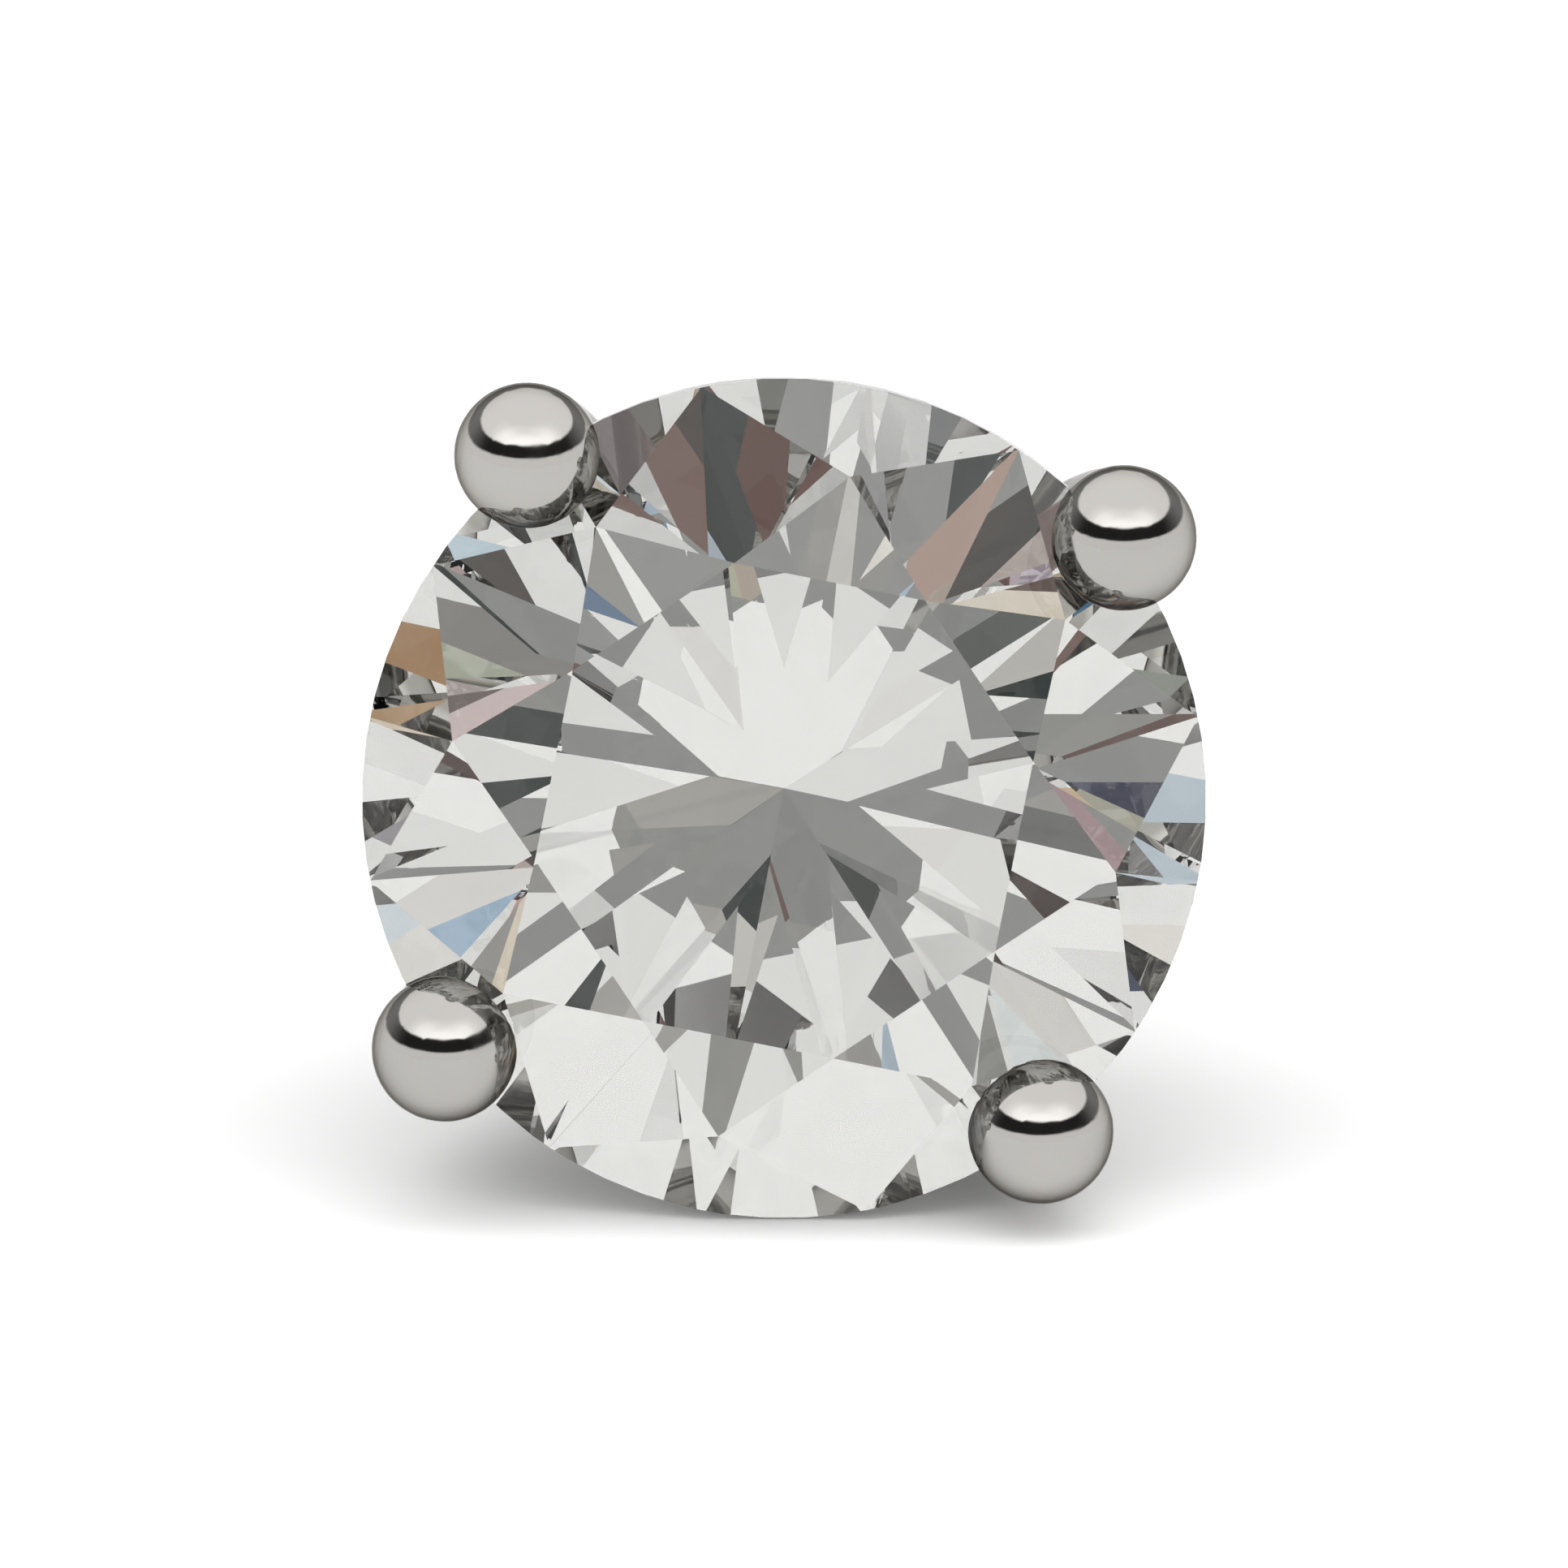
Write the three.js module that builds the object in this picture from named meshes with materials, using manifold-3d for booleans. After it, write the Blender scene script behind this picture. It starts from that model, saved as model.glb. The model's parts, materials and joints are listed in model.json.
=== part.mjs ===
// A four-claw stud earring: a round brilliant held by a soldered white-gold basket with its ear post.
// Millimetres, +Z up. The stud rests as it does on a table: on the rim of its stone and the tip of its post,
// with the face towards -Y. The origin lies on the table, under the middle of the stud's box.
import * as THREE from "three";
import { mergeVertices } from "three/addons/utils/BufferGeometryUtils.js";
import Module from "manifold-3d";

const wasm = await Module();
wasm.setup();

const DEG = Math.PI / 180;

// The stone: its diameter drives the head, and its cut is given by the usual shares and angles.
const STONE_D = 5.2;
const STONE_R = STONE_D / 2;
const TABLE_SHARE = 0.6;
const CROWN_ANGLE = 33.5 * DEG;
const PAVILION_ANGLE = 42.8 * DEG;
const GIRDLE_SHARE = 0.035;
const STAR_SHARE = 0.55;
const LOWER_HALF_SHARE = 0.82;
const GIRDLE_FACETS = 64;
const MAINS = 8;

// The head: round claws that rise from a button, one rail round them, and a seat cut for the stone.
const CLAWS = 4;
const CLAW_TIP_R = 0.45;
const CLAW_TIP_OUT = 2.62;
const CLAW_TIP_RISE = 0.42;
const CLAW_WIRE_R = 0.4;
const CLAW_KNEE = { out: 2.5, up: -0.85 };
const CLAW_FOOT = { out: 0.85, up: -2.85 };
const RAIL_R = 1.63;
const RAIL_WIRE_R = 0.25;
const RAIL_UP = -1.9;
const SEAT_SCALE = 1.014; // the seats have the stone's own shape, this much larger, so that a gap stays all round

// The button and the post that is soldered to it.
const BUTTON_R = 1.3;
const BUTTON_FRONT = -2.6;
const BUTTON_BACK = -3.2;
const BUTTON_ROUND = 0.12;
const POST_R = 0.4;
const POST_LENGTH = 9.6;
const SOLDER_R = 0.2;
const POST_TIP = BUTTON_BACK - POST_LENGTH;

// How the stud lies: turned about its post until a claw nearly meets the table.
const ROLL = 7.9 * DEG;

// How far the stone sits off the middle of the head, towards the table.
const STONE_OFF = 0.07;

const HALF_GIRDLE = (GIRDLE_SHARE * STONE_D) / 2;
const TABLE_R = TABLE_SHARE * STONE_R;
const TABLE_UP = HALF_GIRDLE + (STONE_R - TABLE_R) * Math.tan(CROWN_ANGLE);
const CULET_DOWN = HALF_GIRDLE + STONE_R * Math.tan(PAVILION_ANGLE);
const MAIN_STEP = (2 * Math.PI) / MAINS;
const GIRDLE_STEP = (2 * Math.PI) / GIRDLE_FACETS;

// The stone is turned in its seat so that it rests evenly on a flat of its girdle, midway between two mains.
const STONE_TURN = ROLL + MAIN_STEP / 4;
const STONE_PLACE = new THREE.Vector3(STONE_OFF * Math.sin(ROLL), -STONE_OFF * Math.cos(ROLL), 0);

const diamond = new THREE.MeshStandardMaterial({
  name: "diamond",
  color: 0xf2f3f1,
  roughness: 0.02,
  metalness: 0,
  transparent: true,
  opacity: 0.35,
});
const whiteGold = new THREE.MeshStandardMaterial({
  name: "white_gold",
  color: 0xdcd8d2,
  roughness: 0.12,
  metalness: 1,
});

// A closed three.js geometry as a solid that can be joined and cut.
function solidFrom(geometry, matrix = new THREE.Matrix4()) {
  const bare = geometry.clone().applyMatrix4(matrix);
  bare.deleteAttribute("normal");
  bare.deleteAttribute("uv");
  const merged = mergeVertices(bare, 1e-5);
  return new wasm.Manifold(
    new wasm.Mesh({
      numProp: 3,
      vertProperties: merged.attributes.position.array,
      triVerts: new Uint32Array(merged.index.array),
    }),
  );
}

// A solid as flat-shaded geometry.
function geometryFrom(solid) {
  const mesh = solid.getMesh();
  const geometry = new THREE.BufferGeometry();
  geometry.setAttribute("position", new THREE.BufferAttribute(new Float32Array(mesh.vertProperties), 3));
  geometry.setIndex(new THREE.BufferAttribute(new Uint32Array(mesh.triVerts), 1));
  const flat = geometry.toNonIndexed();
  flat.computeVertexNormals();
  return flat;
}

// A point at a distance out from the stone's axis, at an angle round it and a height along it.
function around(out, angle, up) {
  return new THREE.Vector3(out * Math.cos(angle), out * Math.sin(angle), up);
}

// Height of a main facet's plane, at a point that lies turn away from that facet's middle.
function mainHeight(out, turn, angle) {
  return HALF_GIRDLE + (STONE_R - out * Math.cos(turn)) * Math.tan(angle);
}

// The block of rough beyond the plane through three points, which cutting that facet takes off.
function wasteBeyond(a, b, c) {
  const plane = new THREE.Plane().setFromCoplanarPoints(a, b, c);
  if (plane.distanceToPoint(new THREE.Vector3()) > 0) plane.negate();
  const side = 3 * STONE_D;
  const turn = new THREE.Quaternion().setFromUnitVectors(new THREE.Vector3(0, 0, 1), plane.normal);
  const middle = a.clone().addScaledVector(plane.normal, side / 2);
  const place = new THREE.Matrix4().compose(middle, turn, new THREE.Vector3(1, 1, 1));
  return solidFrom(new THREE.BoxGeometry(side, side, side), place);
}

// Three points of each facet of one eighth of the stone, from its main at angle 0 to the next one.
function eighthOfFacets() {
  const half = MAIN_STEP / 2;
  const tableEdge = TABLE_R * Math.cos(half);
  const starOut = tableEdge + STAR_SHARE * (STONE_R - tableEdge);
  const lowerOut = (1 - LOWER_HALF_SHARE) * STONE_R;
  const star = (turn) => around(starOut, turn, mainHeight(starOut, half, CROWN_ANGLE));
  const lower = (turn) => around(lowerOut, turn, -mainHeight(lowerOut, half, PAVILION_ANGLE));
  const girdle = (turn, up) => around(STONE_R, turn, up * HALF_GIRDLE);
  const corner = (turn) => around(TABLE_R, turn, TABLE_UP);
  const culet = around(0, 0, -CULET_DOWN);
  return [
    [corner(0), star(half), star(-half)], // crown main
    [corner(0), corner(MAIN_STEP), star(half)], // star
    [girdle(0, 1), girdle(half, 1), star(half)], // upper halves
    [girdle(half, 1), girdle(MAIN_STEP, 1), star(half)],
    [girdle(0, -1), lower(half), culet], // pavilion main
    [girdle(0, -1), girdle(half, -1), lower(half)], // lower halves
    [girdle(half, -1), girdle(MAIN_STEP, -1), lower(half)],
  ];
}

// The round brilliant, cut facet by facet from a round blank whose wall becomes the girdle.
function cutStone() {
  const length = TABLE_UP + 2 * CULET_DOWN;
  const blank = new THREE.CylinderGeometry(STONE_R, STONE_R, length, GIRDLE_FACETS);
  blank.rotateY(GIRDLE_STEP / 2).rotateX(Math.PI / 2).translate(0, 0, TABLE_UP - length / 2);
  let stone = solidFrom(blank);
  const facets = eighthOfFacets();
  const axis = new THREE.Vector3(0, 0, 1);
  for (let i = 0; i < MAINS; i++) {
    for (const points of facets) {
      const turned = points.map((point) => point.clone().applyAxisAngle(axis, i * MAIN_STEP));
      stone = stone.subtract(wasteBeyond(...turned));
    }
  }
  return stone;
}

// The space that the seats in the claws leave for the stone.
function seatSpace(cut) {
  const turn = new THREE.Quaternion().setFromAxisAngle(new THREE.Vector3(0, 0, 1), STONE_TURN);
  const larger = new THREE.Vector3().setScalar(SEAT_SCALE);
  return cut.transform(new THREE.Matrix4().compose(STONE_PLACE, turn, larger).elements);
}

// One claw: a bent round wire with a ball rubbed up at its tip.
function claw(angle) {
  const tip = around(CLAW_TIP_OUT, angle, CLAW_TIP_RISE);
  const knee = around(CLAW_KNEE.out, angle, CLAW_KNEE.up);
  const foot = around(CLAW_FOOT.out, angle, CLAW_FOOT.up);
  const route = new THREE.CurvePath();
  const bendStart = foot.clone().lerp(knee, 0.72);
  const bendEnd = knee.clone().lerp(tip, 0.45);
  route.add(new THREE.LineCurve3(foot, bendStart));
  route.add(new THREE.QuadraticBezierCurve3(bendStart, knee, bendEnd));
  route.add(new THREE.LineCurve3(bendEnd, tip));
  const section = new THREE.Shape().absarc(0, 0, CLAW_WIRE_R, 0, 2 * Math.PI);
  const wire = new THREE.ExtrudeGeometry(section, { extrudePath: route, steps: 14, curveSegments: 8 });
  const ball = new THREE.SphereGeometry(CLAW_TIP_R, 20, 14).rotateX(Math.PI / 2);
  return solidFrom(wire).add(solidFrom(ball, new THREE.Matrix4().setPosition(tip)));
}

// The button with its flat back, and the post with a small fillet of solder and a round tip.
function buttonAndPost() {
  const tipMiddle = POST_TIP + POST_R;
  const outline = new THREE.Path()
    .moveTo(0, POST_TIP)
    .absarc(0, tipMiddle, POST_R, -Math.PI / 2, 0)
    .lineTo(POST_R, BUTTON_BACK - SOLDER_R)
    .absarc(POST_R + SOLDER_R, BUTTON_BACK - SOLDER_R, SOLDER_R, Math.PI, Math.PI / 2, true)
    .lineTo(BUTTON_R - BUTTON_ROUND, BUTTON_BACK)
    .absarc(BUTTON_R - BUTTON_ROUND, BUTTON_BACK + BUTTON_ROUND, BUTTON_ROUND, -Math.PI / 2, 0)
    .lineTo(BUTTON_R, BUTTON_FRONT - BUTTON_ROUND)
    .absarc(BUTTON_R - BUTTON_ROUND, BUTTON_FRONT - BUTTON_ROUND, BUTTON_ROUND, 0, Math.PI / 2)
    .lineTo(0, BUTTON_FRONT);
  const points = outline.getPoints(4);
  return solidFrom(new THREE.LatheGeometry(points, 28).rotateX(Math.PI / 2));
}

// The rail that ties the claws together under the stone.
function rail() {
  const ring = new THREE.TorusGeometry(RAIL_R, RAIL_WIRE_R, 10, 40);
  return solidFrom(ring, new THREE.Matrix4().makeTranslation(0, 0, RAIL_UP));
}

// All the metal is cast or soldered together, so it is one solid.
function settingGeometry(cut) {
  let metal = buttonAndPost().add(rail());
  for (let i = 0; i < CLAWS; i++) {
    metal = metal.add(claw(((i + 0.5) * 2 * Math.PI) / CLAWS));
  }
  return geometryFrom(metal.subtract(seatSpace(cut)));
}

// How far the face leans back when the stone's lowest corners and the post's round tip both touch the table.
function leanAtRest(stone) {
  const corners = stone.geometry.attributes.position;
  const corner = new THREE.Vector3();
  let lean = 0;
  for (let i = 0; i < corners.count; i++) {
    corner.fromBufferAttribute(corners, i).applyMatrix4(stone.matrixWorld);
    const reach = corner.z - (POST_TIP + POST_R);
    const fall = Math.acos(POST_R / Math.hypot(corner.y, reach)) - Math.atan2(reach, -corner.y);
    lean = Math.max(lean, fall);
  }
  return lean;
}

const cut = cutStone();
const stone = new THREE.Mesh(geometryFrom(cut), diamond);
stone.name = "stone";
stone.rotation.z = STONE_TURN;
stone.position.copy(STONE_PLACE);

const setting = new THREE.Mesh(settingGeometry(cut), whiteGold);
setting.name = "claw_setting";

const head = new THREE.Group();
head.add(stone, setting);
head.rotation.z = -ROLL;
head.updateMatrixWorld(true);

const lying = new THREE.Group();
lying.add(head);
lying.rotation.x = Math.PI / 2 - leanAtRest(stone);

const stud = new THREE.Group();
stud.add(lying);
const box = new THREE.Box3().setFromObject(stud, true);
const middle = box.getCenter(new THREE.Vector3());
lying.position.set(-middle.x, -middle.y, -box.min.z);

export default stud;
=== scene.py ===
"""A claw-set stud earring lying on a white table: its metalwork, its finishes and its studio.

The sizes are in millimetres in the head's own frame: its origin is the middle of the stone's girdle,
+Z runs out of the stone's table, and the post runs along -Z. Each piece is modelled there as by hand,
and then laid on the table, where the frame's ear face says that the head lies.
"""

import json
import math

import bpy
from bpy.props import FloatProperty, FloatVectorProperty, IntProperty, PointerProperty
from mathutils import Matrix, Vector

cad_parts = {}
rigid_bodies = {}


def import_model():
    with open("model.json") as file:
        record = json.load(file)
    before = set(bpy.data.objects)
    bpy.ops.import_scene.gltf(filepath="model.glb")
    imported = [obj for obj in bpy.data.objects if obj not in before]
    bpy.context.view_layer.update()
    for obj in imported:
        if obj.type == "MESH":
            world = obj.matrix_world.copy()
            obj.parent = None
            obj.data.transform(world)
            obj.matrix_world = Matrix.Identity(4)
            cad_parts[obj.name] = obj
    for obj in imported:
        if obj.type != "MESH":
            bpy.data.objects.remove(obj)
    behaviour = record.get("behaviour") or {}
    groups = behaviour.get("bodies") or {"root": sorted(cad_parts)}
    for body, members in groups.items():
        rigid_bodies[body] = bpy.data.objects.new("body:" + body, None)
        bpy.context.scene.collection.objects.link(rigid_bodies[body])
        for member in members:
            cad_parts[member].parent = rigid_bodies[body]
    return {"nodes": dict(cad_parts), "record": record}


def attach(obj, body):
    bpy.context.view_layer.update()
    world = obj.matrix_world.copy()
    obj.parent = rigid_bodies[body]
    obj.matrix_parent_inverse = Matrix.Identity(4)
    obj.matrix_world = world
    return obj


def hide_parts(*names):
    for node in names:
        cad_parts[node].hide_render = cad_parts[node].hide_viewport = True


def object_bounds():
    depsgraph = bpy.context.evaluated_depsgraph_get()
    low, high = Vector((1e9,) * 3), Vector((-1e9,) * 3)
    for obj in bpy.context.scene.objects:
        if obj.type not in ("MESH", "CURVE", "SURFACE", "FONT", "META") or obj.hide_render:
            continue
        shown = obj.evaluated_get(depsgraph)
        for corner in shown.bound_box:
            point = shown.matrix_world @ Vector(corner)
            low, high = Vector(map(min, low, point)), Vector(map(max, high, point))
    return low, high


bl_info = {
    "name": "Claw-Set Stud Earring",
    "version": (1, 0, 0),
    "blender": (4, 5, 0),
    "location": "View3D > Sidebar > Stud Earring",
    "description": "Models the setting of a stud earring, finishes its stone and lights it on a white table",
    "category": "Add Mesh",
}

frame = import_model()
CAD_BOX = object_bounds()

MM = 0.001
EAR_FACE = next(m for m in frame["record"]["mounts"] if m["name"] == "ear_face")
CLAW_COUNT = 4
AXIS_X = Vector((1.0, 0.0, 0.0))

# How finely the round shapes are divided before the metal is joined up
WIRE_SIDES = 32
BEND_STEPS = 12
BALL_SEGMENTS = 64
BALL_RINGS = 32
RAIL_SIDES = 24
RAIL_STEPS = 120
LATHE_SIDES = 64
RIM_STEPS = 5
FILLET_STEPS = 6
TIP_STEPS = 9

# The post's round tip stops at this angle, short of the axis, and a small flat face closes it
TIP_END = 86

# One round of polishing: smoothed inwards, then let out again, so that the metal keeps its size
POLISH_IN = 0.5
POLISH_OUT = -0.52

# The two ways in which handling scratches run: how each is turned, and how its lines are drawn out.
# The levels cut its lines off sharply.
SCRATCH_WAYS = (
    {"turn": (0.3, 0.1, 0.9), "stretch": (1.0, 0.06, 0.3)},
    {"turn": (1.1, 0.7, 0.2), "stretch": (0.08, 1.0, 0.4)},
)
SCRATCH_DETAIL = 2.0
SCRATCH_ROUGHNESS = 0.6
SCRATCH_LEVELS = (0.55, 0.72)
CLOUD_DETAIL = 3.0

# How dense the wear is on each finish, to the metre, and how far its clouds shade the colour
GOLD_SCRATCHES = 4200.0
GOLD_CLOUDS = 700.0
GOLD_SHADES = (0.9, 1.08)
STONE_SCRATCHES = 900.0
STONE_CLOUDS = 260.0
STONE_SHADES = (0.985, 1.0)

# A scratch in the white gold: how many times duller than the polish it is, and its depth in millimetres
SCRATCH_DULLNESS = 2.2
SCRATCH_DISTANCE = 0.01

# Where the light goes over from one side to the other: -1 is behind the stud and 1 before it
SOFTBOX_AHEAD = (0.1, 0.9)
ROOM_AHEAD = (-0.8, 0.4)
FILL_AHEAD = (-0.7, 0.0)

# The roof's tints, the flag's two shades and the fire along the flag's lower edge
TINT_SCALE = 3.5
TINT_DETAIL = 1.0
TINT_PARTING = (0.46, 0.56)
ROOF_TINT = 0.6
FIRE_BELOW = 0.1

# The coloured cards round the stone that give it its glints, with their edges in degrees
CARDS = (
    {"name": "tan", "bearing": (23, 28), "elevation": (32, 38), "colour": (0.6, 0.45, 0.39)},
    {"name": "brown", "bearing": (7, 15), "elevation": (49, 56), "colour": (0.26, 0.17, 0.15)},
    {"name": "pink", "bearing": (12, 24), "elevation": (71, 77), "colour": (0.95, 0.8, 0.8)},
    {"name": "blue", "bearing": (-65, -57), "elevation": (43, 49), "colour": (0.52, 0.7, 0.9)},
)

# How often light may bounce about in the stone and the metal
BOUNCES = 28
GLOSSY_BOUNCES = 24
TRANSMISSION_BOUNCES = 24


def millimetres(name, default, description):
    """A size that a user may change, in millimetres."""
    return FloatProperty(name=name, default=default, description=description, precision=3)


def degrees(name, default, description):
    """An angle that a user may change, given here in degrees."""
    return FloatProperty(name=name, default=math.radians(default), subtype="ANGLE", description=description)


def metres(name, default, description):
    """A length that a user may change, in metres."""
    return FloatProperty(name=name, default=default, unit="LENGTH", precision=6, description=description)


def colour(name, default, description):
    """A colour that a user may change."""
    return FloatVectorProperty(name=name, default=default, subtype="COLOR", description=description)


def amount(name, default, description):
    """A brightness, share or other plain number that a user may change."""
    return FloatProperty(name=name, default=default, description=description)


class StudSizes(bpy.types.PropertyGroup):
    """Sizes of the metalwork, in the head's own frame."""

    stone_off: millimetres("Stone Off", 0.07, "How far the stone sits below the head's middle, as it lies")
    seat_scale: amount("Seat Scale", 1.018, "How much larger than the stone its seats are cut")
    tip_radius: millimetres("Claw Tip Radius", 0.45, "Radius of the ball at a claw's tip")
    tip_out: millimetres("Claw Tip Out", 2.62, "Distance from the axis to the middle of a claw's tip")
    tip_up: millimetres("Claw Tip Up", 0.42, "Height of the middle of a claw's tip")
    wire_radius: millimetres("Claw Wire Radius", 0.4, "Radius of a claw's wire")
    knee_out: millimetres("Knee Out", 2.5, "Distance from the axis to where a claw's two straights meet")
    knee_up: millimetres("Knee Up", -0.85, "Height at which a claw's two straights meet")
    knee_bend: millimetres("Knee Bend", 1.3, "Radius that a claw is bent round")
    foot_out: millimetres("Foot Out", 0.85, "Distance from the axis to a claw's foot")
    foot_up: millimetres("Foot Up", -2.85, "Height of a claw's foot, inside the back plate")
    rail_radius: millimetres("Rail Radius", 1.63, "Radius of the gallery rail")
    rail_wire: millimetres("Rail Wire Radius", 0.25, "Radius of the gallery rail's wire")
    rail_up: millimetres("Rail Up", -1.9, "Height of the gallery rail")
    plate_radius: millimetres("Plate Radius", 1.3, "Radius of the back plate")
    plate_front: millimetres("Plate Front", -2.6, "Height of the back plate's front")
    plate_back: millimetres("Plate Back", -3.2, "Height of the back plate's flat back")
    plate_round: millimetres("Plate Rounding", 0.12, "Rounding of the back plate's rims")
    post_radius: millimetres("Post Radius", 0.4, "Radius of the ear post")
    post_length: millimetres("Post Length", 9.6, "Length of the ear post behind the back plate")
    solder_radius: millimetres("Solder Fillet", 0.2, "Radius of the solder round the foot of the post")
    face_middle: millimetres("Ear Face Middle", 0.89, "Distance from the axis to the ear face's point")
    lie_angle: degrees("Roll", 7.9, "How far the stud lies rolled over")
    grain: millimetres("Metal Grain", 0.04, "Size of the cells in which the soldered metal is joined up")
    smoothing: IntProperty(name="Polishing", default=10, description="Times the soldered metal is smoothed")


class StudFinish(bpy.types.PropertyGroup):
    """Colours and polish of the stone, the metal and the table."""

    gold: colour("White Gold", (0.41, 0.398, 0.38), "Colour of the white gold")
    gold_edge: colour("White Gold Edge", (0.3, 0.29, 0.28), "Tint of the white gold where it turns away")
    gold_roughness: amount("Polish", 0.06, "Roughness of the polished metal")
    wear_depth: amount("Scratch Depth", 0.06, "Strength of the fine scratches")
    stone_tint: colour("Stone Tint", (0.61, 0.61, 0.592), "Body colour of the stone")
    stone_gloss: colour("Stone Gloss", (0.13, 0.13, 0.13), "Tint of what the stone's faces mirror")
    stone_index: amount("Refractive Index", 2.417, "Index of the stone")
    table_colour: colour("Table", (0.8, 0.8, 0.8), "Colour of the white table")
    table_roughness: amount("Table Roughness", 0.7, "Roughness of the table")
    table_gloss: amount("Table Gloss", 0.2, "How much the table mirrors")


class StudStudio(bpy.types.PropertyGroup):
    """The table, the light round it and the camera."""

    table_front: metres("Table Front", 0.06, "How far the table runs on before the stud")
    table_size: metres("Table Size", 1.2, "Width of the table, and its depth")

    surround: amount("Surround", 1.5, "Brightness of the white walls round the metal")
    softbox: amount("Softbox", 2.4, "Brightness of the softbox overhead")
    softbox_edge: degrees("Softbox Edge", 30.0, "Elevation of the softbox's lower edge")
    softbox_top: degrees("Softbox Top", 50.0, "Elevation of the softbox's upper edge")
    softbox_fade: degrees("Softbox Fade", 16.0, "Half the width of the softbox's soft upper edge")
    table_rise: degrees("Table Rise", 10.0, "Elevation that the white round the table rises to")
    table_glow: amount("Table Glow", 1.25, "Brightness of that white")
    room: amount("Room", 0.03, "Brightness of the unlit room round the camera")
    room_behind: amount("Room Behind", 0.4, "Brightness of the room behind the stud")
    room_soft: degrees("Room Softness", 2.0, "Half the width of the room's soft edges")

    front_fill: amount("Front Fill", 1.95, "Light on the table from the front")
    back_fill: amount("Back Fill", 0.36, "Light on the table from behind")
    overhead: amount("Overhead", 1.4, "More light on the table from overhead")
    overhead_low: degrees("Overhead Low", 40.0, "Elevation at which the light from overhead starts")
    overhead_full: degrees("Overhead Full", 70.0, "Elevation at which it is full")

    flag_low: degrees("Flag Low", 10.5, "Elevation at which the black flag over the camera starts")
    flag_slant: degrees("Flag Slant", 10.0, "How much lower the flag's lower edge runs to the right")
    flag_fade: degrees("Flag Fade", 40.0, "Elevation below which the black flag is grey")
    flag_top: degrees("Flag Top", 67.0, "Elevation at which the flag goes over into the roof")
    flag_side: degrees("Flag Side", 56.0, "Bearing at which the flag ends on each side")
    flag_soft: degrees("Flag Softness", 4.0, "Half the width of the flag's soft edge")
    flag_grey: colour("Flag Grey", (0.40, 0.405, 0.398), "Grey of the flag's lower part")
    flag_cool: colour("Flag Cool", (0.058, 0.07, 0.067), "Cool shade of the black flag")
    flag_warm: colour("Flag Warm", (0.165, 0.085, 0.072), "Warm shade of the black flag")
    roof: amount("Roof", 0.68, "Brightness of the roof above the flag")
    fire: degrees("Fire", 1.8, "How far apart the stone spreads red and blue")
    card_soft: degrees("Card Softness", 1.0, "Half the width of the soft edge of a coloured card")
    white_below: amount("White Below", 1.12, "Brightness round the stone from below")
    wall: amount("Wall", 1.08, "Brightness of the walls beside the flag")

    backdrop: amount("Backdrop", 1.3, "Brightness of the white behind the table")
    camera_elevation: degrees("Camera Elevation", 16.3, "Height angle of the camera")
    camera_distance: metres("Camera Distance", 0.25, "Distance from the camera to the stone")
    camera_clip: metres("Camera Clip", 0.01, "Nearest distance that the camera sees")
    view_width: metres("View Width", 0.00966, "Width of the view at the stone")
    headroom: metres("Headroom", 0.000015, "How far above the stone's middle the view centres")


def settings():
    """The three groups of settings on the scene."""
    scene = bpy.context.scene
    return scene.stud_sizes, scene.stud_finish, scene.stud_studio


# Where the head lies


def resting_place():
    """The matrix that takes the head's own millimetres to where the stud lies on the table."""
    sizes, _, _ = settings()
    back = Vector(EAR_FACE["axis"]).normalized()
    out = -back
    up = out.cross(AXIS_X).normalized()
    middle = Vector(EAR_FACE["pos_m"]) - MM * (sizes.face_middle * up + sizes.plate_back * out)
    turn = Matrix((AXIS_X, up, out)).transposed().to_4x4()
    roll = Matrix.Rotation(-sizes.lie_angle, 4, "Z")
    return Matrix.Translation(middle) @ turn @ roll @ Matrix.Scale(MM, 4)


# Modelling helpers


def clear_selection():
    """Object mode with nothing selected."""
    if bpy.context.object and bpy.context.object.mode != "OBJECT":
        bpy.ops.object.mode_set(mode="OBJECT")
    bpy.ops.object.select_all(action="DESELECT")


def choose(*objects):
    """Selects only these objects, and makes the first one active."""
    clear_selection()
    for one in objects:
        one.select_set(True)
    bpy.context.view_layer.objects.active = objects[0]


def start_disc(name, radius, vertices, place, turn=(0.0, 0.0, 0.0), fill="NGON"):
    """A flat disc to extrude from, in edit mode with all of it selected."""
    clear_selection()
    bpy.ops.mesh.primitive_circle_add(
        vertices=vertices, radius=radius, fill_type=fill, location=place, rotation=turn
    )
    disc = bpy.context.object
    disc.name = name
    bpy.ops.object.transform_apply(location=True, rotation=True, scale=True)
    bpy.ops.object.mode_set(mode="EDIT")
    bpy.ops.mesh.select_all(action="SELECT")
    return disc


def pull(step):
    """Extrudes the selected face along a step."""
    bpy.ops.mesh.extrude_region_move(TRANSFORM_OT_translate={"value": tuple(step)})


def turn_on_lathe(stations):
    """From the selected disc on the axis, pulls rings through the stations (radius, height)."""
    radius, height = stations[0]
    for next_radius, next_height in stations[1:]:
        pull((0.0, 0.0, next_height - height))
        share = next_radius / radius
        bpy.ops.transform.resize(value=(share, share, 1.0), center_override=(0.0, 0.0, next_height))
        radius, height = next_radius, next_height


def quarter_round(middle_radius, middle_height, radius, start, end, steps):
    """Stations along an arc, from one angle to the other; 0 points away from the axis and 90 along +Z."""
    angles = [math.radians(start + (end - start) * i / steps) for i in range(steps + 1)]
    return [(middle_radius + radius * math.cos(a), middle_height + radius * math.sin(a)) for a in angles]


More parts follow.
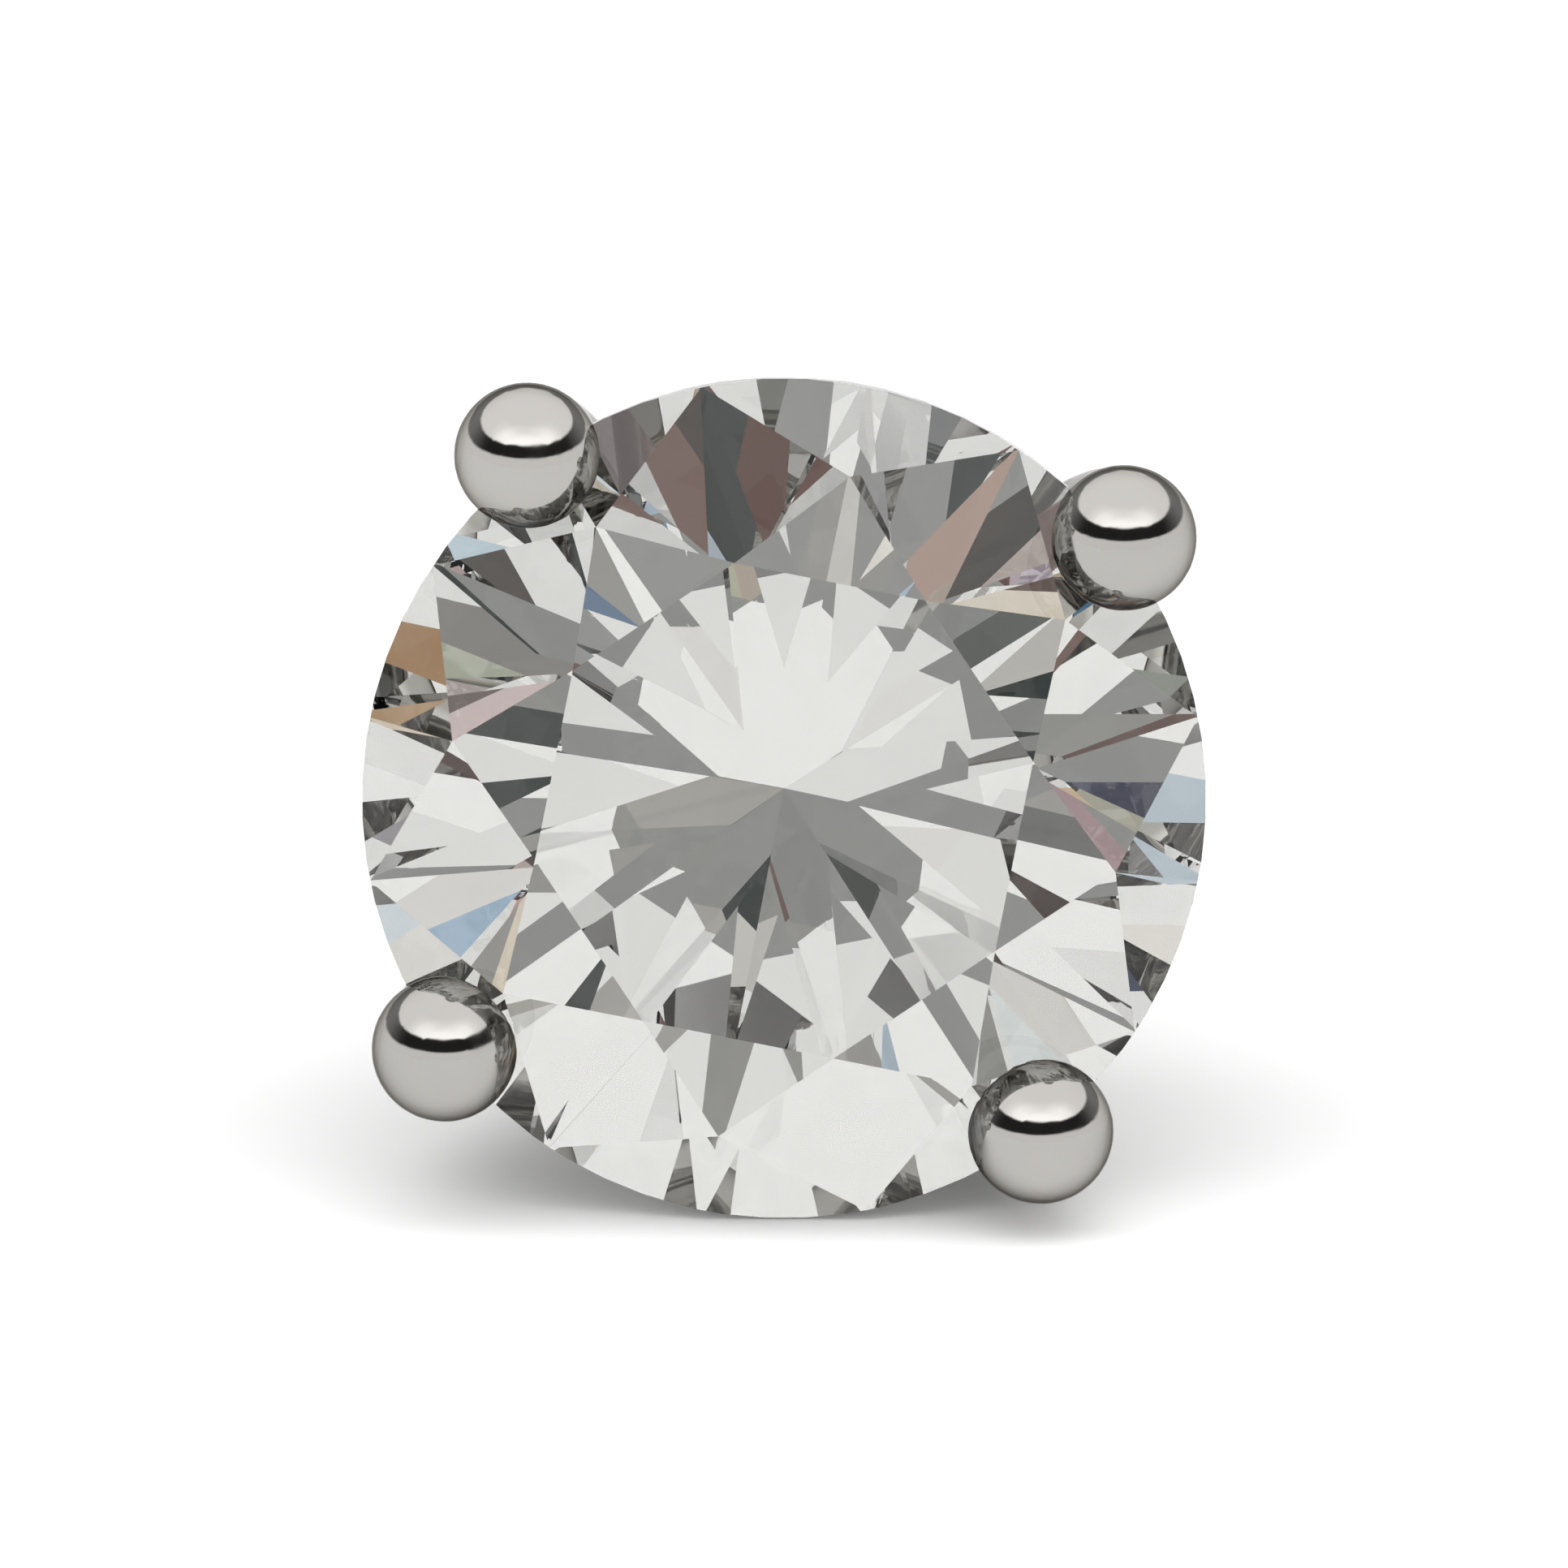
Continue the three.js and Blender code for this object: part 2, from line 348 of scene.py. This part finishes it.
def close_up(piece, weld=1e-4):
    """Merges doubles, points the faces outwards and goes back to object mode."""
    bpy.ops.mesh.select_all(action="SELECT")
    bpy.ops.mesh.remove_doubles(threshold=weld)
    bpy.ops.mesh.normals_make_consistent(inside=False)
    bpy.ops.object.mode_set(mode="OBJECT")
    return piece


def add_modifier(piece, kind, **values):
    """Adds a modifier to a piece and applies it."""
    choose(piece)
    modifier = piece.modifiers.new(kind.title(), kind)
    for key, value in values.items():
        setattr(modifier, key, value)
    bpy.ops.object.modifier_apply(modifier=modifier.name)


def lay_down(piece):
    """Takes a piece from the head's frame to the table, with its place in its mesh."""
    choose(piece)
    piece.matrix_world = resting_place()
    bpy.ops.object.transform_apply(location=True, rotation=True, scale=True)


# The metalwork


def model_claw():
    """One claw at angle 0: a wire pulled up from its foot, bent at the knee and finished with a ball."""
    sizes, _, _ = settings()
    foot = Vector((sizes.foot_out, 0.0, sizes.foot_up))
    knee = Vector((sizes.knee_out, 0.0, sizes.knee_up))
    tip = Vector((sizes.tip_out, 0.0, sizes.tip_up))
    shank = knee - foot
    neck = tip - knee
    lean = math.atan2(shank.x, shank.z)
    bend = lean - math.atan2(neck.x, neck.z)
    trim = sizes.knee_bend * math.tan(bend / 2)
    claw = start_disc("claw", sizes.wire_radius, WIRE_SIDES, foot, (0.0, lean, 0.0))
    pull(shank - trim * shank.normalized())
    inward = Vector((-math.cos(lean), 0.0, math.sin(lean)))
    bend_middle = knee - trim * shank.normalized() + sizes.knee_bend * inward
    bpy.ops.mesh.spin(steps=BEND_STEPS, angle=bend, center=bend_middle, axis=(0.0, 1.0, 0.0))
    pull(neck - trim * neck.normalized())
    close_up(claw)
    clear_selection()
    bpy.ops.mesh.primitive_uv_sphere_add(
        segments=BALL_SEGMENTS, ring_count=BALL_RINGS, radius=sizes.tip_radius, location=tip
    )
    ball = bpy.context.object
    bpy.ops.object.transform_apply(location=True, rotation=True, scale=True)
    choose(claw, ball)
    bpy.ops.object.join()
    return claw


def model_seat():
    """The room that the stone takes up in the head: the stone's own shape, a little larger all round."""
    sizes, _, _ = settings()
    stone = frame["nodes"]["stone"]
    seat = bpy.data.objects.new("seat", stone.data.copy())
    bpy.context.collection.objects.link(seat)
    middle = sizes.stone_off * Vector((math.sin(sizes.lie_angle), -math.cos(sizes.lie_angle), 0.0))
    larger = Matrix.Translation(middle) @ Matrix.Scale(sizes.seat_scale, 4) @ Matrix.Translation(-middle)
    choose(seat)
    seat.matrix_world = larger @ resting_place().inverted() @ stone.matrix_world
    bpy.ops.object.transform_apply(location=True, rotation=True, scale=True)
    bpy.ops.object.mode_set(mode="EDIT")
    return close_up(seat)


class STUD_OT_claws(bpy.types.Operator):
    """Models one claw, copies it round the head and cuts the stone's seat in each"""

    bl_idname = "stud.claws"
    bl_label = "Claws"

    def execute(self, context):
        claw = model_claw()
        seat = model_seat()
        for i in range(CLAW_COUNT):
            copy = claw.copy()
            copy.data = claw.data.copy()
            copy.name = f"claw_{i + 1}"
            context.collection.objects.link(copy)
            choose(copy)
            copy.rotation_euler.z = (i + 0.5) * math.tau / CLAW_COUNT
            bpy.ops.object.transform_apply(location=True, rotation=True, scale=True)
            add_modifier(copy, "BOOLEAN", object=seat, operation="DIFFERENCE", solver="EXACT", use_self=True)
        bpy.data.objects.remove(claw)
        bpy.data.objects.remove(seat)
        return {"FINISHED"}


class STUD_OT_gallery_rail(bpy.types.Operator):
    """Models the rail that ties the claws together under the stone"""

    bl_idname = "stud.gallery_rail"
    bl_label = "Gallery Rail"

    def execute(self, context):
        sizes, _, _ = settings()
        place = (sizes.rail_radius, 0.0, sizes.rail_up)
        upright = (math.pi / 2, 0.0, 0.0)
        rail = start_disc("gallery_rail", sizes.rail_wire, RAIL_SIDES, place, upright, fill="NOTHING")
        bpy.ops.mesh.spin(steps=RAIL_STEPS, angle=math.tau, center=(0.0, 0.0, 0.0), axis=(0.0, 0.0, 1.0))
        close_up(rail)
        return {"FINISHED"}


class STUD_OT_plate_and_post(bpy.types.Operator):
    """Turns the back plate and the ear post with the solder between them"""

    bl_idname = "stud.plate_and_post"
    bl_label = "Back Plate and Post"

    def execute(self, context):
        sizes, _, _ = settings()
        rim = sizes.plate_radius - sizes.plate_round
        front = sizes.plate_front - sizes.plate_round
        back = sizes.plate_back + sizes.plate_round
        fillet_out = sizes.post_radius + sizes.solder_radius
        fillet_up = sizes.plate_back - sizes.solder_radius
        tip = sizes.plate_back - sizes.post_length + sizes.post_radius
        stations = quarter_round(rim, front, sizes.plate_round, 90, 0, RIM_STEPS)
        stations += quarter_round(rim, back, sizes.plate_round, 0, -90, RIM_STEPS)
        stations += quarter_round(fillet_out, fillet_up, sizes.solder_radius, 90, 180, FILLET_STEPS)
        stations += quarter_round(0.0, tip, sizes.post_radius, 0, -TIP_END, TIP_STEPS)
        radius, height = stations[0]
        plate = start_disc("plate_and_post", radius, LATHE_SIDES, (0.0, 0.0, height))
        turn_on_lathe(stations)
        close_up(plate)
        return {"FINISHED"}


class STUD_OT_solder(bpy.types.Operator):
    """Solders the claws, the rail, the plate and the post into one smooth piece"""

    bl_idname = "stud.solder"
    bl_label = "Solder and Polish"

    def execute(self, context):
        sizes, _, _ = settings()
        claws = [bpy.data.objects[f"claw_{i + 1}"] for i in range(CLAW_COUNT)]
        parts = [bpy.data.objects["plate_and_post"], bpy.data.objects["gallery_rail"], *claws]
        choose(*parts)
        bpy.ops.object.join()
        setting = bpy.context.object
        setting.name = "setting"
        add_modifier(setting, "REMESH", mode="VOXEL", voxel_size=sizes.grain)
        for _ in range(sizes.smoothing):
            add_modifier(setting, "SMOOTH", factor=POLISH_IN, iterations=1)
            add_modifier(setting, "SMOOTH", factor=POLISH_OUT, iterations=1)
        bpy.ops.object.shade_smooth()
        lay_down(setting)
        setting.data.materials.clear()
        setting.data.materials.append(white_gold())
        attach(setting, "root")
        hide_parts("claw_setting")
        return {"FINISHED"}


class STUD_OT_stone(bpy.types.Operator):
    """Gives the cut stone its finish"""

    bl_idname = "stud.stone"
    bl_label = "Stone"

    def execute(self, context):
        stone = frame["nodes"]["stone"]
        stone.data.materials.clear()
        stone.data.materials.append(clear_diamond())
        return {"FINISHED"}


# Nodes


def node(tree, kind, **values):
    """A node of this kind, with values for its properties or its inputs."""
    made = tree.nodes.new(kind)
    for key, value in values.items():
        if hasattr(made, key):
            setattr(made, key, value)
        else:
            made.inputs[key.replace("_", " ").title()].default_value = value
    return made


def feed(tree, socket, value):
    """Gives a socket a number or a colour, or links another socket to it."""
    if isinstance(value, bpy.types.NodeSocket):
        tree.links.new(value, socket)
    elif socket.type == "RGBA":
        socket.default_value = (*value, 1.0)
    else:
        socket.default_value = value


def calculate(tree, operation, *values):
    """The outcome of a Math node on these numbers or sockets."""
    made = node(tree, "ShaderNodeMath", operation=operation)
    for socket, value in zip(made.inputs, values):
        feed(tree, socket, value)
    return made.outputs["Value"]


def mix(tree, kind, share, first, second):
    """A mix of two numbers or colours: the first at a share of 0, the second at 1."""
    made = node(tree, "ShaderNodeMix", data_type=kind)
    for name, value in (("Factor", share), ("A", first), ("B", second)):
        feed(tree, made.inputs[name], value)
    return made.outputs["Result"]


def mix_numbers(tree, share, first, second):
    """A mix of two numbers."""
    return mix(tree, "FLOAT", share, first, second)


def mix_colours(tree, share, first, second):
    """A mix of two colours."""
    return mix(tree, "RGBA", share, first, second)


def mix_channels(tree, shares, first, second):
    """A mix of two colours' sockets, with a share of its own for each of red, green and blue."""
    parted = []
    for seen in (first, second):
        apart = node(tree, "ShaderNodeSeparateColor")
        tree.links.new(seen, apart.inputs["Color"])
        parted.append(apart.outputs)
    joined = node(tree, "ShaderNodeCombineColor")
    for share, name in zip(shares, ("Red", "Green", "Blue")):
        feed(tree, joined.inputs[name], mix_numbers(tree, share, parted[0][name], parted[1][name]))
    return joined.outputs["Color"]


def soft_step(tree, value, low, high):
    """0 before low and 1 past high, with a soft passage between them."""
    made = node(tree, "ShaderNodeMapRange", interpolation_type="SMOOTHSTEP")
    made.inputs["From Min"].default_value = low
    made.inputs["From Max"].default_value = high
    tree.links.new(value, made.inputs["Value"])
    return made.outputs["Result"]


def above(tree, value, edge, soft):
    """1 above a soft edge, and 0 below it."""
    return soft_step(tree, value, edge - soft, edge + soft)


def below(tree, value, edge, soft):
    """1 below a soft edge, and 0 above it."""
    return soft_step(tree, value, edge + soft, edge - soft)


def between(tree, value, low, high, soft):
    """1 between two soft edges, and 0 beyond them."""
    return calculate(tree, "MULTIPLY", above(tree, value, low, soft), below(tree, value, high, soft))


def grey(brightness):
    """A grey of this brightness."""
    return 3 * (brightness,)


def shades(base, shares):
    """A colour made darker or lighter by each share."""
    return [[share * part for part in base] for share in shares]


# Finishes


def scratch_lines(group, place, density, turn, stretch):
    """Fine lines one way, from a noise drawn out along them and cut off sharply."""
    mapping = node(group, "ShaderNodeMapping")
    mapping.inputs["Rotation"].default_value = turn
    mapping.inputs["Scale"].default_value = stretch
    group.links.new(place, mapping.inputs["Vector"])
    lines = node(group, "ShaderNodeTexNoise", detail=SCRATCH_DETAIL, roughness=SCRATCH_ROUGHNESS)
    group.links.new(mapping.outputs["Vector"], lines.inputs["Vector"])
    group.links.new(density, lines.inputs["Scale"])
    sharp = node(group, "ShaderNodeMapRange")
    sharp.inputs["From Min"].default_value, sharp.inputs["From Max"].default_value = SCRATCH_LEVELS
    group.links.new(lines.outputs["Fac"], sharp.inputs["Value"])
    return sharp.outputs["Result"]


def handling_wear():
    """The node group for the marks of handling: fine scratches both ways and a faint unevenness."""
    if "Handling Wear" in bpy.data.node_groups:
        return bpy.data.node_groups["Handling Wear"]
    group = bpy.data.node_groups.new("Handling Wear", "ShaderNodeTree")
    for name in ("Scratch Scale", "Cloud Scale"):
        group.interface.new_socket(name=name, in_out="INPUT", socket_type="NodeSocketFloat").min_value = 1.0
    for name in ("Scratches", "Cloud"):
        group.interface.new_socket(name=name, in_out="OUTPUT", socket_type="NodeSocketFloat")
    given = node(group, "NodeGroupInput").outputs
    put_out = node(group, "NodeGroupOutput").inputs
    place = node(group, "ShaderNodeTexCoord").outputs["Object"]
    ways = [scratch_lines(group, place, given["Scratch Scale"], **way) for way in SCRATCH_WAYS]
    cloud = node(group, "ShaderNodeTexNoise", detail=CLOUD_DETAIL)
    group.links.new(place, cloud.inputs["Vector"])
    group.links.new(given["Cloud Scale"], cloud.inputs["Scale"])
    group.links.new(calculate(group, "MAXIMUM", *ways), put_out["Scratches"])
    group.links.new(cloud.outputs["Fac"], put_out["Cloud"])
    return group


def wear_in(tree, scratch_scale, cloud_scale):
    """The handling wear group placed in a material: its outputs."""
    wear = tree.nodes.new("ShaderNodeGroup")
    wear.node_tree = handling_wear()
    wear.inputs["Scratch Scale"].default_value = scratch_scale
    wear.inputs["Cloud Scale"].default_value = cloud_scale
    return wear.outputs


def new_finish(name):
    """A material of this name, with its node tree and its shader."""
    material = bpy.data.materials.new(name)
    material.use_nodes = True
    return material, material.node_tree, material.node_tree.nodes["Principled BSDF"]


def white_gold():
    """Polished white gold with fine handling scratches."""
    _, finish, _ = settings()
    material, tree, shader = new_finish("white_gold")
    shader.inputs["Metallic"].default_value = 1.0
    feed(tree, shader.inputs["Specular Tint"], finish.gold_edge)
    wear = wear_in(tree, GOLD_SCRATCHES, GOLD_CLOUDS)
    tone = mix_colours(tree, wear["Cloud"], *shades(finish.gold, GOLD_SHADES))
    tree.links.new(tone, shader.inputs["Base Color"])
    polish = node(tree, "ShaderNodeMapRange")
    polish.inputs["To Min"].default_value = finish.gold_roughness
    polish.inputs["To Max"].default_value = SCRATCH_DULLNESS * finish.gold_roughness
    tree.links.new(wear["Scratches"], polish.inputs["Value"])
    tree.links.new(polish.outputs["Result"], shader.inputs["Roughness"])
    bump = node(tree, "ShaderNodeBump", invert=True)
    bump.inputs["Strength"].default_value = finish.wear_depth
    bump.inputs["Distance"].default_value = SCRATCH_DISTANCE * MM
    tree.links.new(wear["Scratches"], bump.inputs["Height"])
    tree.links.new(bump.outputs["Normal"], shader.inputs["Normal"])
    return material


def clear_diamond():
    """Clear diamond, with the faintest unevenness in its body colour."""
    _, finish, _ = settings()
    material, tree, shader = new_finish("diamond")
    shader.inputs["Roughness"].default_value = 0.0
    shader.inputs["IOR"].default_value = finish.stone_index
    feed(tree, shader.inputs["Specular Tint"], finish.stone_gloss)
    shader.inputs["Transmission Weight"].default_value = 1.0
    wear = wear_in(tree, STONE_SCRATCHES, STONE_CLOUDS)
    tone = mix_colours(tree, wear["Cloud"], *shades(finish.stone_tint, STONE_SHADES))
    tree.links.new(tone, shader.inputs["Base Color"])
    return material


def matte_white():
    """The white table."""
    _, finish, _ = settings()
    material, tree, shader = new_finish("white_table")
    feed(tree, shader.inputs["Base Color"], finish.table_colour)
    shader.inputs["Roughness"].default_value = finish.table_roughness
    shader.inputs["Specular IOR Level"].default_value = finish.table_gloss
    return material


# The studio


def round_the_metal(tree, elevation, ahead):
    """White round the table, the unlit room above it, and then the softbox and the white walls."""
    _, _, studio = settings()
    box_low = below(tree, elevation, studio.softbox_top, studio.softbox_fade)
    box = calculate(tree, "MULTIPLY", box_low, soft_step(tree, ahead, *SOFTBOX_AHEAD))
    walls = mix_numbers(tree, box, studio.surround, studio.softbox)
    risen = above(tree, elevation, studio.table_rise, studio.room_soft)
    lit = mix_numbers(tree, risen, studio.table_glow, walls)
    unlit = mix_numbers(tree, soft_step(tree, ahead, *ROOM_AHEAD), studio.room_behind, studio.room)
    room_top = below(tree, elevation, studio.softbox_edge, studio.room_soft)
    return mix_numbers(tree, calculate(tree, "MULTIPLY", risen, room_top), lit, unlit)


def over_the_table(tree, elevation, ahead):
    """What lights the table: a fill from the front and the softbox overhead, so its shadows fall behind."""
    _, _, studio = settings()
    front = soft_step(tree, ahead, *FILL_AHEAD)
    fill = mix_numbers(tree, front, studio.back_fill, studio.front_fill)
    overhead = soft_step(tree, elevation, studio.overhead_low, studio.overhead_full)
    roof = calculate(tree, "MULTIPLY", calculate(tree, "MULTIPLY", overhead, front), studio.overhead)
    return calculate(tree, "ADD", fill, roof)


def flag_edges(tree, slanted, bearing, roof):
    """Where the flag and the roof stand, for red, green and blue: their edges lie apart, as fire."""
    _, _, studio = settings()
    edges = []
    for share in (1.0, 0.0, -1.0):
        spread = share * studio.fire
        up = above(tree, slanted, studio.flag_low + FIRE_BELOW * spread, studio.flag_soft)
        left, right = spread - studio.flag_side, spread + studio.flag_side
        aside = between(tree, bearing, left, right, 2 * studio.flag_soft)
        edges.append(calculate(tree, "MULTIPLY", up, calculate(tree, "MAXIMUM", aside, roof)))
    return edges


def flag_colour(tree, direction, elevation, roof):
    """Grey low on the flag, cool and warm black above that, and the tinted roof on top."""
    _, _, studio = settings()
    tints = node(tree, "ShaderNodeTexNoise", scale=TINT_SCALE, detail=TINT_DETAIL)
    tree.links.new(direction, tints.inputs["Vector"])
    parting = soft_step(tree, tints.outputs["Fac"], *TINT_PARTING)
    black = mix_colours(tree, parting, studio.flag_cool, studio.flag_warm)
    low_down = below(tree, elevation, studio.flag_fade, studio.flag_soft)
    flag = mix_colours(tree, low_down, black, studio.flag_grey)
    pastel = mix_colours(tree, ROOF_TINT, grey(studio.roof), tints.outputs["Color"])
    return mix_colours(tree, roof, flag, pastel)


def card_edges(tree, card, elevation, bearing):
    """Where a coloured card stands."""
    _, _, studio = settings()
    left, right = map(math.radians, card["bearing"])
    low, high = map(math.radians, card["elevation"])
    across = between(tree, bearing, left, right, studio.card_soft)
    return calculate(tree, "MULTIPLY", across, between(tree, elevation, low, high, studio.card_soft))


def round_the_stone(tree, direction, elevation, bearing):
    """What the stone gathers: white walls, the flag over the camera and the coloured cards."""
    _, _, studio = settings()
    slant = calculate(tree, "MULTIPLY", calculate(tree, "SINE", bearing), studio.flag_slant)
    slanted = calculate(tree, "ADD", elevation, slant)
    roof = above(tree, elevation, studio.flag_top, studio.flag_soft)
    floor = below(tree, slanted, studio.flag_low, studio.flag_soft)
    white = mix_colours(tree, floor, grey(studio.wall), grey(studio.white_below))
    flag = flag_colour(tree, direction, elevation, roof)
    seen = mix_channels(tree, flag_edges(tree, slanted, bearing, roof), white, flag)
    for card in CARDS:
        seen = mix_colours(tree, card_edges(tree, card, elevation, bearing), seen, card["colour"])
    return seen


def light_tent():
    """The light round the stud: what the metal mirrors, what the stone gathers and what lights the table.

    The camera itself sees a plain white backdrop.
    """
    _, _, studio = settings()
    world = bpy.data.worlds.new("light_tent")
    world.use_nodes = True
    world.cycles.sampling_method = "NONE"
    tree = world.node_tree
    tree.nodes.clear()
    direction = node(tree, "ShaderNodeTexCoord").outputs["Generated"]
    parts = node(tree, "ShaderNodeSeparateXYZ")
    tree.links.new(direction, parts.inputs["Vector"])
    x, y, z = (parts.outputs[name] for name in ("X", "Y", "Z"))
    front = calculate(tree, "MULTIPLY", y, -1.0)
    elevation = calculate(tree, "ARCSINE", z)
    bearing = calculate(tree, "ARCTAN2", x, front)
    ahead = calculate(tree, "COSINE", bearing)
    paths = node(tree, "ShaderNodeLightPath").outputs
    around_metal = round_the_metal(tree, elevation, ahead)
    around_stone = round_the_stone(tree, direction, elevation, bearing)
    lit = mix_colours(tree, paths["Is Transmission Ray"], around_metal, around_stone)
    from_table = calculate(tree, "MINIMUM", paths["Diffuse Depth"], 1.0)
    lit = mix_colours(tree, from_table, lit, over_the_table(tree, elevation, ahead))
    seen = mix_colours(tree, paths["Is Camera Ray"], lit, grey(studio.backdrop))
    background = node(tree, "ShaderNodeBackground")
    tree.links.new(seen, background.inputs["Color"])
    output = node(tree, "ShaderNodeOutputWorld")
    tree.links.new(background.outputs["Background"], output.inputs["Surface"])
    return world


def lay_table():
    """The white table under the stud."""
    _, _, studio = settings()
    low, _ = CAD_BOX
    clear_selection()
    bpy.ops.mesh.primitive_plane_add(size=1.0, location=(0.0, 0.0, 0.0))
    table = bpy.context.object
    table.name = "table"
    near = low.y - studio.table_front
    table.scale = (studio.table_size, studio.table_size, 1.0)
    table.location = (0.0, near + studio.table_size / 2, low.z)
    bpy.ops.object.transform_apply(location=True, rotation=True, scale=True)
    table.data.materials.append(matte_white())


def set_camera():
    """A long lens straight before the stud, raised a little above its own axis."""
    _, _, studio = settings()
    raised = studio.camera_elevation
    towards = Vector((0.0, -math.cos(raised), math.sin(raised)))
    upwards = Vector((0.0, math.sin(raised), math.cos(raised)))
    target = resting_place().translation + studio.headroom * upwards
    data = bpy.data.cameras.new("camera")
    data.lens = data.sensor_width * studio.camera_distance / studio.view_width
    data.clip_start = studio.camera_clip
    camera = bpy.data.objects.new("camera", data)
    camera.location = target + studio.camera_distance * towards
    camera.rotation_euler = towards.to_track_quat("Z", "Y").to_euler()
    bpy.context.scene.collection.objects.link(camera)
    bpy.context.scene.camera = camera


class STUD_OT_studio(bpy.types.Operator):
    """Lays the table, lights it and sets the camera"""

    bl_idname = "stud.studio"
    bl_label = "Studio"

    def execute(self, context):
        lay_table()
        context.scene.world = light_tent()
        set_camera()
        context.scene.view_settings.view_transform = "Standard"
        cycles = context.scene.cycles
        cycles.max_bounces = BOUNCES
        cycles.glossy_bounces = GLOSSY_BOUNCES
        cycles.transmission_bounces = TRANSMISSION_BOUNCES
        return {"FINISHED"}


STEPS = (
    STUD_OT_claws,
    STUD_OT_gallery_rail,
    STUD_OT_plate_and_post,
    STUD_OT_solder,
    STUD_OT_stone,
    STUD_OT_studio,
)


class VIEW3D_PT_stud(bpy.types.Panel):
    """Lists the steps that build the stud"""

    bl_label = "Stud Earring"
    bl_idname = "VIEW3D_PT_stud"
    bl_space_type = "VIEW_3D"
    bl_region_type = "UI"
    bl_category = "Stud Earring"

    def draw(self, context):
        for step in STEPS:
            self.layout.operator(step.bl_idname)


GROUPS = {"stud_sizes": StudSizes, "stud_finish": StudFinish, "stud_studio": StudStudio}


def register():
    """Adds the settings, the steps and the panel."""
    for name, group in GROUPS.items():
        bpy.utils.register_class(group)
        setattr(bpy.types.Scene, name, PointerProperty(type=group))
    for step in STEPS:
        bpy.utils.register_class(step)
    bpy.utils.register_class(VIEW3D_PT_stud)


def unregister():
    """Takes them away again."""
    bpy.utils.unregister_class(VIEW3D_PT_stud)
    for step in reversed(STEPS):
        bpy.utils.unregister_class(step)
    for name, group in GROUPS.items():
        delattr(bpy.types.Scene, name)
        bpy.utils.unregister_class(group)


def main():
    """Builds the stud and its studio."""
    register()
    for step in STEPS:
        family, name = step.bl_idname.split(".")
        getattr(getattr(bpy.ops, family), name)()


if __name__ == "__main__":
    main()
